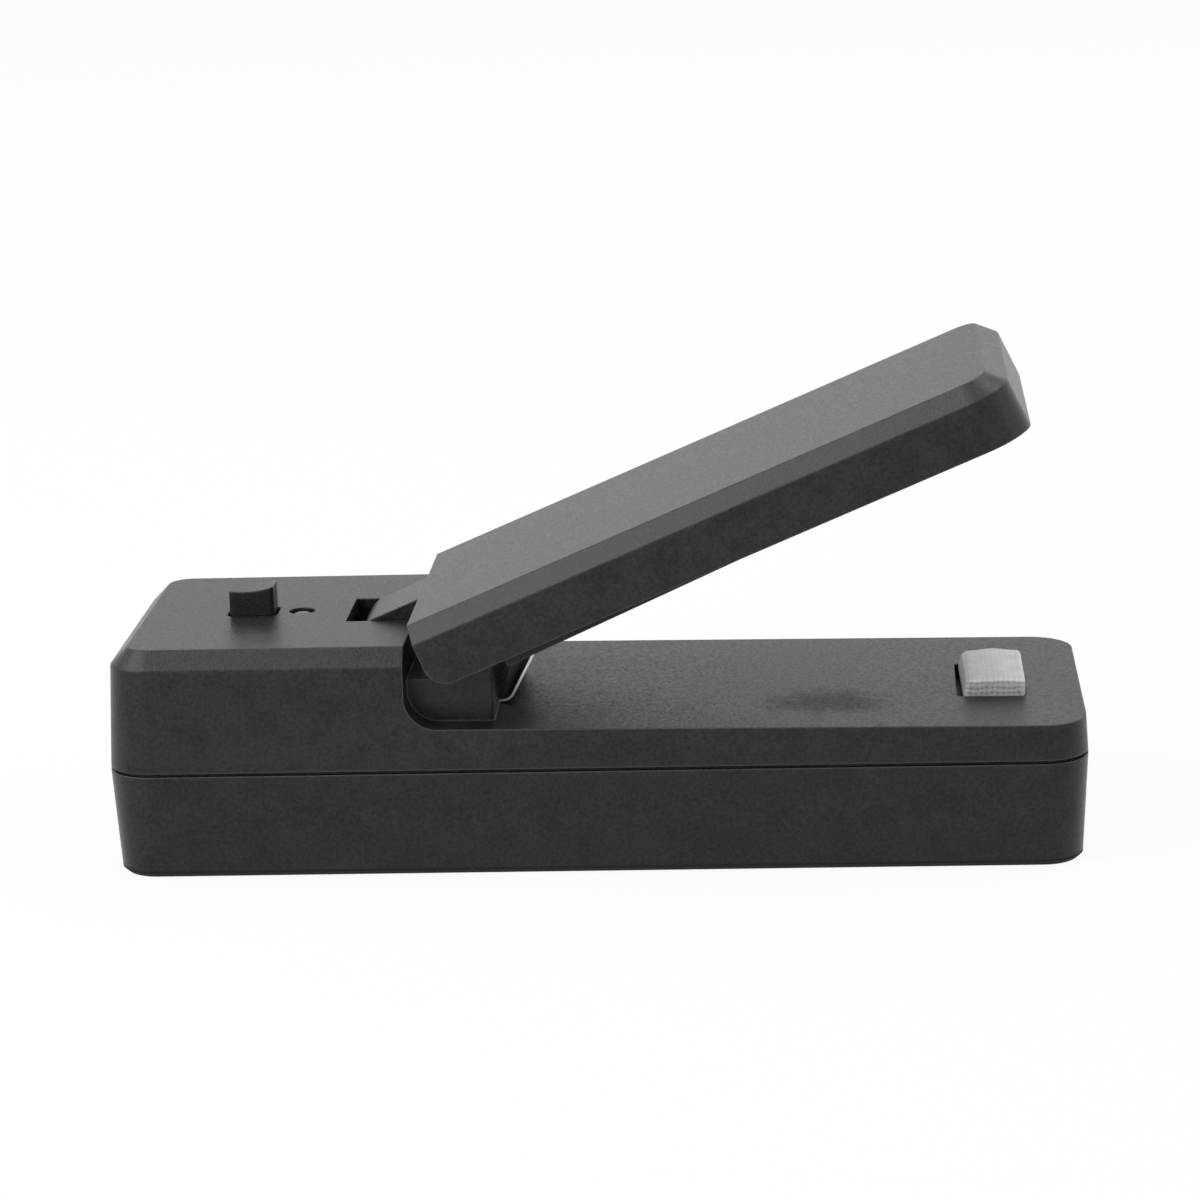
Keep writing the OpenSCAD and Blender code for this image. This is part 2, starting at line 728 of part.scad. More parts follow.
// A point of the arm where it rests, open, from a point of the closed arm
function opened(x, z) = [
    pin_x + (x - pin_x) * cos(open_deg) - (z - pin_z) * sin(open_deg),
    pin_z + (x - pin_x) * sin(open_deg) + (z - pin_z) * cos(open_deg)];

// Length of the free limb that ends just under the open arm's wedge
function leaf_run() =
    let (reach = opened(plate_x0, wedge_low) - leaf_bend_end(), tilt = open_deg + wedge_deg)
    let (rise = leaf_deg - tilt)
    (reach * [-sin(tilt), cos(tilt)] - leaf_gap - leaf_t / 2 * cos(rise)) / sin(rise);

module leaf_spring() {
    leaf_lap = 0.02;
    root_gap = 0.15;
    bend_x = nose_x + leaf_set;
    bend_z = leaf_base + leaf_t + leaf_bend;
    far = 4 * (leaf_bend + leaf_t);
    color([0.35, 0.36, 0.38]) translate([0, leaf_w / 2, 0]) rotate([90, 0, 0]) linear_extrude(leaf_w) {
        translate([nose_x - leaf_root + root_gap, leaf_base])
            square([leaf_root + leaf_set - root_gap + leaf_lap, leaf_t]);
        translate([bend_x, bend_z]) intersection() {
            difference() {
                circle(leaf_bend + leaf_t);
                circle(leaf_bend);
            }
            polygon([[0, 0], [0, -far], far * [sin(leaf_deg), -1], far * [sin(leaf_deg), -cos(leaf_deg)]]);
        }
        translate(leaf_bend_end()) rotate(leaf_deg) translate([-leaf_lap, -leaf_t / 2])
            square([leaf_run() + leaf_lap, leaf_t]);
    }
}

module heater_block() {
    color([0.16, 0.13, 0.11]) difference() {
        union() {
            slab(heater_x - block_l / 2, heater_x + block_l / 2, block_w, block_low, block_top);
            slab(heater_x - hole_l / 2 - foot_reach, heater_x + hole_l / 2 + foot_reach,
                hole_w + 2 * foot_reach, foot_low, deck_roof);
        }
        // Slits for the resistance strip's legs
        for (side = [0, 1]) mirror([0, side, 0])
            translate([heater_x - ribbon_w / 2 - screw_gap, block_w / 2, foot_low - cut])
                cube([ribbon_w + 2 * screw_gap, ribbon_t + screw_gap, foot_t + 2 * cut]);
    }
}

module heater_ribbon() {
    color([0.62, 0.60, 0.58]) difference() {
        slab(heater_x - ribbon_w / 2, heater_x + ribbon_w / 2, ribbon_span, leg_low, block_top + ribbon_t);
        slab(heater_x - ribbon_w, heater_x + ribbon_w, block_w, leg_low - cut, block_top);
    }
}

module heater_wrap() {
    crown_r = (pow(heater_l / 2, 2) + pow(wrap_crown, 2)) / (2 * wrap_crown);
    hem = heater_deck - wrap_hem;
    color([0.93, 0.92, 0.88]) difference() {
        intersection() {
            translate([heater_x, 0, 0]) round_box(heater_l / 2, heater_w / 2, wrap_t, hem, heater_top);
            translate([heater_x, 0, heater_top - crown_r]) rotate([90, 0, 0])
                cylinder(r = crown_r, h = 2 * heater_w, center = true, $fn = 192);
        }
        slab(heater_x - block_l / 2, heater_x + block_l / 2, ribbon_span, hem - cut, block_top + ribbon_t);
    }
}

module heater_terminals() {
    crimp_w = lead_d + 2 * crimp_t;
    color(steel_colour) for (side = [0, 1]) mirror([0, side, 0]) difference() {
        translate([heater_x - crimp_l / 2, ribbon_span / 2, crimp_low])
            cube([crimp_l, crimp_w, crimp_high - crimp_low]);
        translate([heater_x, lead_start_y, lead_z]) rotate([0, 90, 0])
            cylinder(d = lead_d, h = 2 * crimp_l, center = true);
    }
}

// A route with its corners cut twice, so that it bends softly
function eased(route, times) = times == 0 ? route : eased(concat(
    [route[0]],
    [for (i = [0 : len(route) - 2], share = [0.25, 0.75]) route[i] * (1 - share) + route[i + 1] * share],
    [route[len(route) - 1]]), times - 1);

function unit(v) = v / norm(v);

// Direction of a route at one of its points
function heading(route, i) = unit(route[min(i + 1, len(route) - 1)] - route[max(i - 1, 0)]);

// Corners of a ring round a route's point, square to the route
function ring(route, i, r, sides) =
    let (ahead = heading(route, i), across = unit(cross([0, 1, 0], ahead)), upward = cross(ahead, across))
    [for (k = [0 : sides - 1])
        let (turn = 360 * k / sides)
        route[i] + r * (cos(turn) * across + sin(turn) * upward)];

// One unbroken lead along a route
module wire(points) {
    route = eased(points, 2);
    sides = 8;
    last = len(route) - 1;
    rings = [for (i = [0 : last]) each ring(route, i, lead_r - lead_slack, sides)];
    walls = [for (i = [0 : last - 1], k = [0 : sides - 1])
        let (a = i * sides + k, b = i * sides + (k + 1) % sides)
        each [[a, a + sides, b], [b, a + sides, b + sides]]];
    ends = [for (k = [1 : sides - 2]) each [[0, k, k + 1],
        [last * sides, last * sides + k + 1, last * sides + k]]];
    polyhedron(rings, concat(walls, ends));
}

module heater_leads() {
    turn_x = cell_x1 + room + wall + lead_d;
    bend_x = (turn_x + heater_x - block_l / 2) / 2;
    rise_x = wall_x - wall - lead_d;
    end_y = board_w / 2 - lead_d;
    color([0.75, 0.10, 0.08]) for (side = [0, 1]) mirror([0, side, 0])
        wire([[heater_x, lead_start_y, lead_z], [bend_x, lead_start_y, lead_z],
            [turn_x, lead_y, lead_z], [turn_x - lead_d, lead_y, lead_z],
            [rise_x + lead_d, lead_y, lead_z], [rise_x, lead_y, lead_z],
            [lead_end_x, end_y, board_low - 2 * lead_d], [lead_end_x, end_y, board_low]]);
}

module battery_cell() {
    color([0.70, 0.71, 0.73]) union() {
        translate([(cell_x0 + cell_x1 + cap_l) / 2, 0, 0])
            round_box((cell_l - cap_l) / 2, cell_w / 2, cell_r, cell_z0, cell_z1);
        slab(cell_x0, cell_x0 + cap_l + cell_r, cell_w - 2 * cap_inset - 2 * cell_r,
            cell_z0 + cap_step, cell_z1 - cap_step);
    }
}

module cell_pads() {
    foam_w = cell_w - 2 * foam_inset;
    color([0.25, 0.25, 0.26]) {
        slab(cell_x0 + foam_inset, cell_x1 - foam_inset, foam_w, wall, cell_z0);
        slab(cell_x0 + foam_inset, cell_x1 - foam_inset, foam_w, cell_z1, deck_roof);
    }
}

module battery_leads() {
    height = cell_z1 - cap_step - lead_d;
    color([0.15, 0.15, 0.16]) for (y = [-lead_spread, lead_spread])
        wire([[cell_x0, y, height], [cell_x0 - lead_d, y, height],
            [lead_end_x, y, board_low - 2 * lead_d], [lead_end_x, y, board_low]]);
}

module circuit_board() {
    color([0.10, 0.30, 0.16]) difference() {
        union() {
            slab(board_x0, board_x1, tab_w, board_low, board_top);
            slab(tab_x1, board_x1, board_w, board_low, board_top);
        }
        at_board_screws() translate([0, 0, board_low - cut])
            cylinder(r = mini_d / 2 + screw_gap, h = board_t + 2 * cut);
    }
}

module board_chips() {
    chip_x = board_screw_x - board_boss_d / 2 - room - chip_l;
    color([0.12, 0.12, 0.13]) {
        for (side = [-1, 1]) translate([0, side * chip_y, 0])
            slab(chip_x, chip_x + chip_l, chip_w, board_top, board_top + chip_h);
        slab(chip_x, chip_x + chip_l, chip_l, board_low - chip_h, board_low);
        for (side = [-1, 1]) translate([0, side * chip_y, 0])
            slab(chip_x, chip_x + small_l, small_l / 2, board_low - small_h, board_low);
    }
}

module board_screws() {
    color(steel_colour) at_board_screws() {
        post(0, 0, mini_head_d, board_low - mini_head_h, board_low);
        post(0, 0, mini_d, board_low - mini_head_h / 2, board_low + mini_l);
    }
}

// Outline of the charging socket, grown by a gap, between two places along the body
module usb_outline(gap, x0, x1) {
    run_w = usb_w / 2 - usb_r;
    run_h = usb_h / 2 - usb_r;
    translate([x0, 0, board_top + usb_h / 2]) rotate([90, 0, 90]) linear_extrude(x1 - x0) union() {
        square([usb_w + 2 * gap, 2 * run_h], center = true);
        square([2 * run_w, usb_h + 2 * gap], center = true);
        for (y = [-1, 1], z = [-1, 1]) translate([y * run_w, z * run_h]) circle(usb_r + gap);
    }
}

module usb_socket() {
    color(steel_colour) difference() {
        usb_outline(0, usb_x0, usb_x0 + usb_l);
        usb_outline(-usb_t, usb_x0 - cut, usb_x0 + usb_l - usb_back);
    }
}

module usb_tongue() {
    middle = board_top + usb_h / 2;
    color([0.08, 0.08, 0.09]) slab(usb_x0 + blade_set, usb_x0 + usb_l - usb_back,
        usb_w - 2 * usb_t - 2 * blade_gap, middle - blade_t / 2, middle + blade_t / 2);
}

module tact_switch() {
    color([0.10, 0.10, 0.11]) translate([button_at, 0, 0]) difference() {
        round_box(switch_w / 2, switch_w / 2, switch_r, board_top, switch_top);
        post(0, 0, plunger_d + 2 * plunger_gap, switch_low, switch_top + cut);
    }
}

module tact_plunger() {
    color([0.75, 0.75, 0.73]) post(button_at, 0, plunger_d, plunger_low, plunger_top);
}

module led_chip() {
    color([0.95, 0.95, 0.85])
        slab(light_at - led_l / 2, light_at + led_l / 2, led_w, board_top, board_top + led_h);
}

module light_pipe() {
    dome_r = light_d;
    pipe_low = board_top + led_h + room;
    pipe_top = rear_h - light_drop;
    color([0.80, 0.82, 0.84]) union() {
        intersection() {
            post(light_at, 0, light_d, pipe_low, rear_h);
            translate([light_at, 0, pipe_top - dome_r]) sphere(dome_r);
        }
        post(light_at, 0, light_d, pipe_low, pipe_top - dome_r);
        post(light_at, 0, light_d + 2 * collar_reach, rear_roof - collar_t, rear_roof);
    }
}

module body_screws() {
    color(steel_colour) at_bosses() difference() {
        union() {
            post(0, 0, head_d, head_set, screw_seat);
            post(0, 0, screw_d, screw_seat - head_h / 2, screw_end);
        }
        for (turn = [0, 90]) rotate([0, 0, turn])
            slab(-drive_l / 2, drive_l / 2, drive_w, head_set - cut, head_set + head_h / 2);
    }
}

module arm_cover() {
    half_l = (arm_x1 - arm_x0 + 3 * corner_r) / 2;
    end_low = nose_top + end_gap;
    color(shell_colour) raised() difference() {
        union() {
            difference() {
                intersection() {
                    translate([arm_x1 - half_l, 0, 0])
                        ring_body(half_l, arm_w / 2, corner_r, arm_low, arm_top)
                            bevel_outline(corner_r, arm_low, arm_top);
                    slab(arm_x0, arm_x1 + cut, 2 * arm_w, arm_low - cut, arm_top + cut);
                }
                // Hollow under the roof, open at the rear below the end wall
                translate([arm_x1 - arm_wall - half_l, 0, 0])
                    round_box(half_l, arm_in_w, in_r, arm_low - cut, end_low);
                intersection() {
                    translate([arm_x1 - arm_wall - half_l, 0, 0])
                        round_box(half_l, arm_in_w, in_r, arm_low - cut, arm_ceiling);
                    slab(arm_x0 + arm_wall, arm_x1, arm_w, arm_low - cut, arm_top);
                }
                // Room over the press pad's flange, which takes from the roof on a low arm
                translate([heater_x, 0, 0]) round_box(pad_l / 2 + room, pad_w / 2 + pad_lap + room,
                    pad_r + room, plate_top, pad_top + room);
                // Rounded heels
                translate([arm_x0, arm_w, arm_low]) rotate([90, 0, 0]) linear_extrude(2 * arm_w)
                    difference() {
                        translate([-cut, -cut]) square(arm_heel_r + cut);
                        translate([arm_heel_r, arm_heel_r]) circle(arm_heel_r);
                    }
            }
            // Tongue and knuckle
            slab(pin_x, arm_x0 + arm_wall, tongue_w, arm_top - tongue_t, arm_top);
            cross_bar(knuckle_r, tongue_w);
            at_arm_screws() post(0, 0, arm_boss_d, plate_top, arm_ceiling + arm_roof / 2);
        }
        cross_bar(pin_d / 2 + pin_play / 2, 2 * tongue_w);
        at_arm_screws() post(0, 0, mini_d + 2 * thread_gap, plate_top - cut, mini_seat + mini_l + room);
    }
}

module arm_plate() {
    half_l = (plate_x1 - plate_x0 + 3 * in_r) / 2;
    color([0.13, 0.13, 0.14]) raised() difference() {
        union() {
            intersection() {
                translate([plate_x1 - half_l, 0, 0])
                    round_box(half_l, plate_half, in_r, plate_low, plate_top);
                slab(plate_x0, plate_x1, 2 * plate_half, plate_low, plate_top);
            }
            translate([0, plate_half, 0]) rotate([90, 0, 0]) linear_extrude(2 * plate_half)
                polygon([[plate_x0, plate_low + plate_t / 2], [plate_x0, wedge_low],
                    [wedge_x1, plate_low], [wedge_x1, plate_low + plate_t / 2]]);
        }
        translate([heater_x, 0, 0]) round_box(pad_l / 2 + plate_gap, pad_w / 2 + plate_gap,
            pad_r + plate_gap, plate_low - cut, plate_top + cut);
        at_arm_screws() {
            post(0, 0, mini_head_d + 2 * screw_gap, wedge_low - cut, mini_seat);
            post(0, 0, mini_d + 2 * screw_gap, plate_low, plate_top + cut);
        }
    }
}

module press_pad() {
    color([0.55, 0.16, 0.10]) raised() translate([heater_x, 0, 0]) union() {
        round_box(pad_l / 2, pad_w / 2, pad_r, pad_low, pad_top);
        round_box(pad_l / 2, pad_w / 2 + pad_lap, pad_r, plate_top, pad_top);
    }
}

module arm_screws() {
    color(steel_colour) raised() at_arm_screws() {
        post(0, 0, mini_head_d, mini_seat - mini_head_h, mini_seat);
        post(0, 0, mini_d, mini_seat - mini_head_h / 2, mini_seat + mini_l);
    }
}

module power_button() {
    tall = rear_h + button_rise;
    lean = button_l * sin(button_slope);
    dish_h = pow(button_l, 2) / button_dish;
    color(shell_colour) translate([button_at, 0, 0]) difference() {
        union() {
            round_box(button_l / 2, button_w / 2, button_r, flange_low, tall + lean + dish_h);
            round_box(button_l / 2 + button_flange, button_w / 2 + button_flange, button_r,
                flange_low, flange_top);
            post(0, 0, stem_d, plunger_top, flange_low + button_flange_t / 2);
        }
        translate([0, 0, tall]) rotate([0, -button_slope, 0]) translate([0, 0, button_dish])
            rotate([90, 0, 0]) cylinder(r = button_dish, h = 2 * button_w, center = true, $fn = 256);
    }
}

lower_shell();
upper_shell();
hinge_pin();
leaf_spring();
heater_block();
heater_ribbon();
heater_wrap();
heater_terminals();
heater_leads();
battery_cell();
cell_pads();
battery_leads();
circuit_board();
board_chips();
board_screws();
usb_socket();
usb_tongue();
tact_switch();
led_chip();
light_pipe();
body_screws();
arm_cover();
arm_plate();
press_pad();
arm_screws();
power_button();
tact_plunger();
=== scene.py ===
import json
import math

import bmesh
import bpy
from mathutils import Matrix, Vector

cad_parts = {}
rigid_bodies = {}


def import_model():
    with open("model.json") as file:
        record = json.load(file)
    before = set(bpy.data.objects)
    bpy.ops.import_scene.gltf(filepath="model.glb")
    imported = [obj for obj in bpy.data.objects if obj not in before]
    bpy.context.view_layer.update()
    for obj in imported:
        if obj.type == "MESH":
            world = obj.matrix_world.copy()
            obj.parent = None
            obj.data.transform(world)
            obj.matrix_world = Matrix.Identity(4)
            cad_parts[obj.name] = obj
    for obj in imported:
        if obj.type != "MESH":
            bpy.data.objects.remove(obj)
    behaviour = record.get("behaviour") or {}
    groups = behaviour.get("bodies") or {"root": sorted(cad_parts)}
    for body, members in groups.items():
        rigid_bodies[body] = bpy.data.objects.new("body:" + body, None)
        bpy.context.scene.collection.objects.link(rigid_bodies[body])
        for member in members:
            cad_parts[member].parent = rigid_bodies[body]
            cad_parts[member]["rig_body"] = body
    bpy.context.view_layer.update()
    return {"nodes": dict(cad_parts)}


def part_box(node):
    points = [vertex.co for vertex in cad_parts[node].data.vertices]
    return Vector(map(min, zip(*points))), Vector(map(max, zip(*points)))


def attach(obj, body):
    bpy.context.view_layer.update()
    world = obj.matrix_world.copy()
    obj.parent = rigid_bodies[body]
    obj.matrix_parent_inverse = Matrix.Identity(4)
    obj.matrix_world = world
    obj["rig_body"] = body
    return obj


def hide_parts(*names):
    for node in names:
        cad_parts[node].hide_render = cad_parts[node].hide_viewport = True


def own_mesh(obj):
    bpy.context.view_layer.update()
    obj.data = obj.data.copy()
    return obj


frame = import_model()
nodes = frame["nodes"]
print("frame loaded,", len(nodes), "nodes")

mm = 0.001

# Camera, set where the photograph was taken from
photoCamera = {
    "eye": (27.07, -396.20, 124.0),  # millimetres
    "yaw": 3.97,  # degrees, as the next two are
    "pitch": 14.62,
    "roll": 2.01,
    "lens": 117.53,
    "sensor": 36.0,
    "shift": (0.0029, 0.0300),
    "clip": (0.01, 20),
}


def makeCamera(settings):
    yaw, pitch, roll = (math.radians(settings[key]) for key in ("yaw", "pitch", "roll"))
    ahead = Vector((-math.sin(yaw) * math.cos(pitch), math.cos(yaw) * math.cos(pitch), -math.sin(pitch)))
    level = ahead.cross(Vector((0, 0, 1))).normalized()
    right = level * math.cos(roll) + ahead.cross(level) * math.sin(roll)
    up = right.cross(ahead)
    lens = bpy.data.cameras.new("photoCamera")
    lens.lens, lens.sensor_width = settings["lens"], settings["sensor"]
    lens.shift_x, lens.shift_y = settings["shift"]
    lens.clip_start, lens.clip_end = settings["clip"]
    camera = bpy.data.objects.new("photoCamera", lens)
    turn = Matrix((right, up, -ahead)).transposed().to_4x4()
    camera.matrix_world = Matrix.Translation(Vector(settings["eye"]) * mm) @ turn
    bpy.context.scene.collection.objects.link(camera)
    bpy.context.scene.camera = camera


makeCamera(photoCamera)
print("camera set")


# A socket that can stand in sums
class Wire:
    def __init__(self, finish, socket):
        self.finish, self.socket = finish, socket

    def sum(self, operation, first, second):
        return self.finish.node("ShaderNodeMath", {"operation": operation}, {0: first, 1: second})

    def __add__(self, other):
        return self.sum("ADD", self, other)

    def __radd__(self, other):
        return self.sum("ADD", other, self)

    def __sub__(self, other):
        return self.sum("SUBTRACT", self, other)

    def __rsub__(self, other):
        return self.sum("SUBTRACT", other, self)

    def __mul__(self, other):
        return self.sum("MULTIPLY", self, other)

    def __rmul__(self, other):
        return self.sum("MULTIPLY", other, self)

    def __abs__(self):
        return self.sum("ABSOLUTE", self, 0)

    def sine(self):
        return self.sum("SINE", self, 0)

    def most(self, other):
        return self.sum("MAXIMUM", self, other)


# A material under construction
class Finish:
    def __init__(self, name, tree=None):
        if tree is None:
            self.material = bpy.data.materials.new(name)
            self.material.use_nodes = True
            tree = self.material.node_tree
        self.tree = tree
        self.shader = tree.nodes.get("Principled BSDF")

    def node(self, kind, settings=None, sockets=None, output=0):
        made = self.tree.nodes.new(kind)
        for key, value in (settings or {}).items():
            setattr(made, key, value)
        for key, value in (sockets or {}).items():
            self.join(value, made.inputs[key])
        return Wire(self, made.outputs[output])

    def join(self, value, socket):
        if isinstance(value, Wire):
            self.tree.links.new(value.socket, socket)
        else:
            socket.default_value = value

    def surface(self, values):
        for key, value in values.items():
            self.join(value, self.shader.inputs[key])

    def place(self, kind="Object"):
        return self.node("ShaderNodeTexCoord", output=kind)

    def parts(self, vector):
        split = self.node("ShaderNodeSeparateXYZ", {}, {0: vector})
        return [Wire(self, socket) for socket in split.socket.node.outputs]

    def noise(self, where, size, detail=2.0, rough=0.5):
        sockets = {"Vector": where, "Scale": 1 / size, "Detail": detail, "Roughness": rough}
        return self.node("ShaderNodeTexNoise", {}, sockets, "Fac")

    def ramp(self, value, low, high):
        sockets = {"Value": value, "From Min": low, "From Max": high}
        return self.node("ShaderNodeMapRange", {"clamp": True}, sockets)

    def blend(self, share, first, second):
        sockets = {0: share, 6: first, 7: second}
        return self.node("ShaderNodeMix", {"data_type": "RGBA"}, sockets, 2)

    def bump(self, height, depth, normal=None):
        sockets = {"Height": height, "Distance": depth}
        if normal:
            sockets["Normal"] = normal
        return self.node("ShaderNodeBump", {}, sockets)

    def brokenEdge(self, radius):
        return self.node("ShaderNodeBevel", {"samples": 4}, {"Radius": radius})

    def turned(self, normal):
        flat = self.node("ShaderNodeNewGeometry", output="Normal")
        return 1 - self.vectorSum("DOT_PRODUCT", {0: normal, 1: flat})

    def vectorSum(self, operation, sockets):
        return self.node("ShaderNodeVectorMath", {"operation": operation}, sockets, "Value")


def grey(level):
    return (level, level, level, 1)


# Moulded plastic with a spark-eroded grain, its sharp corners lightened by a painted edge highlight
shellPlastic = {
    "dark": 0.005,
    "light": 0.021,
    "paintedEdgeHighlight": 0.10,
    "rough": 0.32,
    "specular": 0.27,
    "grain": 0.20 * mm,
    "grainDepth": 0.040 * mm,
    "mottle": 0.36 * mm,
    "cloud": 3.0 * mm,
    "cloudShare": 0.3,
    "toneRange": (0.36, 0.64),
    "sheen": {"cloud": 0.05, "mottle": 0.34, "grain": 0.10},
    "edge": 0.26 * mm,
    "paintedEdgeHighlightRange": (0.02, 0.15),
    "deck": None,
    "foot": None,
}
# The low deck's coarser grain, and a darker, duller patch on it
lowDeck = {
    "top": 16.0 * mm,
    "fade": 1.0 * mm,
    "coarser": 0.040,
    "grainier": 0.26,
    "grainFloor": 0.45,
    "at": (23.6, -8.0, 15.1),  # millimetres, as the reach is
    "reach": (8.0, 5.8, 1.5),
    "spread": 0.6,
    "break": 1.6 * mm,
    "ragged": 0.9,
    "darkPatchRange": (1.02, 0.62),
    "dull": 0.14,
    "darken": 0.6,
}
# Painted shade on the foot of the lower shell, which no light reaches: its colour darker, its roughness
# higher and its edge highlight taken off
shellFoot = {
    "top": 0.9 * mm,
    "fade": 0.3 * mm,
    "dull": 0.45,
    "darken": 0.8,
}


def makePlastic(name, settings):
    finish = Finish(name)
    where = finish.place()
    grain = finish.noise(where, settings["grain"], 3.0, 0.6)
    mottle = finish.noise(where, settings["mottle"], 3.0, 0.6)
    cloud = finish.noise(where, settings["cloud"], 3.0)
    cloudy, sheen = settings["cloudShare"], settings["sheen"]
    tone = finish.ramp(mottle * (1 - cloudy) + cloud * cloudy, *settings["toneRange"])
    uneven = cloud * sheen["cloud"] + mottle * sheen["mottle"] + grain * sheen["grain"]
    rough = uneven + (settings["rough"] - sum(sheen.values()) / 2)
    # Painted edge highlight: the base colour is lightened where the bevel normal turns away from the
    # face, at sharp corners
    corner = finish.brokenEdge(settings["edge"])
    paintedEdgeHighlight = finish.ramp(finish.turned(corner), *settings["paintedEdgeHighlightRange"])
    deck, foot = settings["deck"], settings["foot"]
    if deck:
        at, size = (tuple(a * mm for a in deck[key]) for key in ("at", "reach"))
        patch = {"Vector": where, "Location": at, "Scale": size}
        inside = finish.node("ShaderNodeMapping", {"vector_type": "TEXTURE"}, patch)
        reach = finish.vectorSum("LENGTH", {0: inside})
        ragged = finish.noise(where, deck["break"], 4.0, 0.7) * deck["ragged"]
        # A darker, rougher patch on the low deck, with a ragged edge
        darkPatch = finish.ramp(reach * deck["spread"] + ragged, *deck["darkPatchRange"])
        below = finish.ramp(finish.parts(where)[2], deck["top"] + deck["fade"], deck["top"])
        tone = tone * (1 - darkPatch * deck["darken"])
        coarse = (mottle.most(deck["grainFloor"]) - 0.5) * deck["grainier"] + deck["coarser"]
        rough = rough + darkPatch * deck["dull"] + below * coarse
    if foot:
        # Painted shade: darker and rougher towards the bottom, with no painted edge highlight there
        paintedFootShade = finish.ramp(finish.parts(where)[2], foot["top"], foot["top"] - foot["fade"])
        tone = tone * (1 - paintedFootShade * foot["darken"])
        paintedEdgeHighlight = paintedEdgeHighlight * (1 - paintedFootShade)
        rough = rough + paintedFootShade * foot["dull"]
    skin = finish.blend(tone, grey(settings["dark"]), grey(settings["light"]))
    finish.surface({
        "Base Color": finish.blend(paintedEdgeHighlight, skin, grey(settings["paintedEdgeHighlight"])),
        "Roughness": rough,
        "Specular IOR Level": settings["specular"],
        "Normal": finish.bump(grain, settings["grainDepth"], corner),
    })
    return finish.material


# Turned, stamped or drawn metal
metalSkin = {
    "line": 0.2 * mm,
    "lineDepth": 0.004 * mm,
    "cloud": 2.0 * mm,
    "dim": 0.8,
    "uneven": 0.2,
}


def makeMetal(name, colour, rough, streak, settings=metalSkin):
    finish = Finish(name)
    where = finish.place()
    drawn = finish.node("ShaderNodeMapping", {}, {"Vector": where, "Scale": streak})
    lines = finish.noise(drawn, settings["line"], 2.0)
    clouds = finish.noise(where, settings["cloud"], 3.0)
    dimmed = tuple(c * settings["dim"] for c in colour)
    finish.surface({
        "Base Color": finish.blend(clouds, dimmed + (1,), colour + (1,)),
        "Metallic": 1.0,
        "Roughness": lines * settings["uneven"] + (rough - settings["uneven"] / 2),
        "Normal": finish.bump(lines, settings["lineDepth"]),
    })
    return finish.material


# Plain moulded or laminated stuff of one colour, a little uneven
plainSkin = {
    "cloudSpecks": 12,
    "dim": 0.72,
    "uneven": 0.2,
}


def makePlain(name, colour, rough, size, depth, specular=0.4, settings=plainSkin):
    finish = Finish(name)
    where = finish.place()
    speck = finish.noise(where, size, 3.0, 0.6)
    cloud = finish.noise(where, settings["cloudSpecks"] * size, 2.0)
    dimmed = tuple(c * settings["dim"] for c in colour)
    finish.surface({
        "Base Color": finish.blend(speck, dimmed + (1,), colour + (1,)),
        "Roughness": cloud * settings["uneven"] + (rough - settings["uneven"] / 2),
        "Specular IOR Level": specular,
        "Normal": finish.bump(speck, depth),
    })
    return finish.material


# Coated glass cloth in a plain weave, laid along the sheet's own flat map, with painted highlights along
# its folds and painted light on its top and end faces
glassCloth = {
    "thread": 0.56,  # millimetres, as the flat map is
    "stray": 0.55,
    "strayReach": 0.7 * mm,
    "fibre": 0.14 * mm,
    "soil": 1.8 * mm,
    "gap": 0.36,
    "crown": 1.0,
    "rough": 0.62,
    "specular": 0.4,
    "uneven": 0.2,
    "depth": 0.016 * mm,
    "fuzz": 0.25,
    "pressedAndLitTop": 0.70,
    "shade": {"plain": 0.40, "pressedAndLitTop": 0.42, "paintedEndLight": 0.45, "foldHighlight": 0.60, "soiled": 0.50},
    "weave": {"thread": 0.25, "hole": 0.6, "row": 0.5},
}


def makeCloth(name, settings):
    finish = Finish(name)
    across, along, _ = finish.parts(finish.place("UV"))
    step = math.pi / settings["thread"]
    where = finish.place()
    stray = finish.noise(where, settings["strayReach"], 2.0) * settings["stray"]
    warp = ((across + stray) * step).sine()
    weft = ((along - stray) * step).sine()
    clothPressAndPaintedLight = finish.node("ShaderNodeAttribute", {"attribute_name": "clothPressAndPaintedLight"}, output="Color")
    foldHighlight, pressedAndLitTop, paintedEndLight = finish.parts(clothPressAndPaintedLight)
    loose = 1 - pressedAndLitTop * settings["pressedAndLitTop"]
    over = (warp * weft) * 0.5 + 0.5
    height = (abs(warp) * over).most(abs(weft) * (1 - over)) * loose
    hole = (1 - abs(warp)) * (1 - abs(weft)) * loose
    row = (1 - abs(weft)) * loose
    fibre = finish.noise(where, settings["fibre"], 3.0, 0.6)
    soil = finish.noise(where, settings["soil"], 2.0)
    light, weave = settings["shade"], settings["weave"]
    # Painted light: a painted highlight along the folds, and the top and the two end faces painted
    # lighter
    shade = pressedAndLitTop * light["pressedAndLitTop"] + paintedEndLight * light["paintedEndLight"] + foldHighlight * light["foldHighlight"]
    shade = shade + light["plain"] + (fibre + soil - 1) * light["soiled"]
    threads = height * weave["thread"] - hole * fibre * weave["hole"] - row * soil * weave["row"]
    tone = finish.ramp(shade + threads, 0.0, 1.0)
    finish.surface({
        "Base Color": finish.blend(tone, grey(settings["gap"]), grey(settings["crown"])),
        "Roughness": fibre * settings["uneven"] + (settings["rough"] - settings["uneven"] / 2),
        "Specular IOR Level": settings["specular"],
        "Normal": finish.bump(height + fibre * settings["fuzz"], settings["depth"]),
    })
    return finish.material


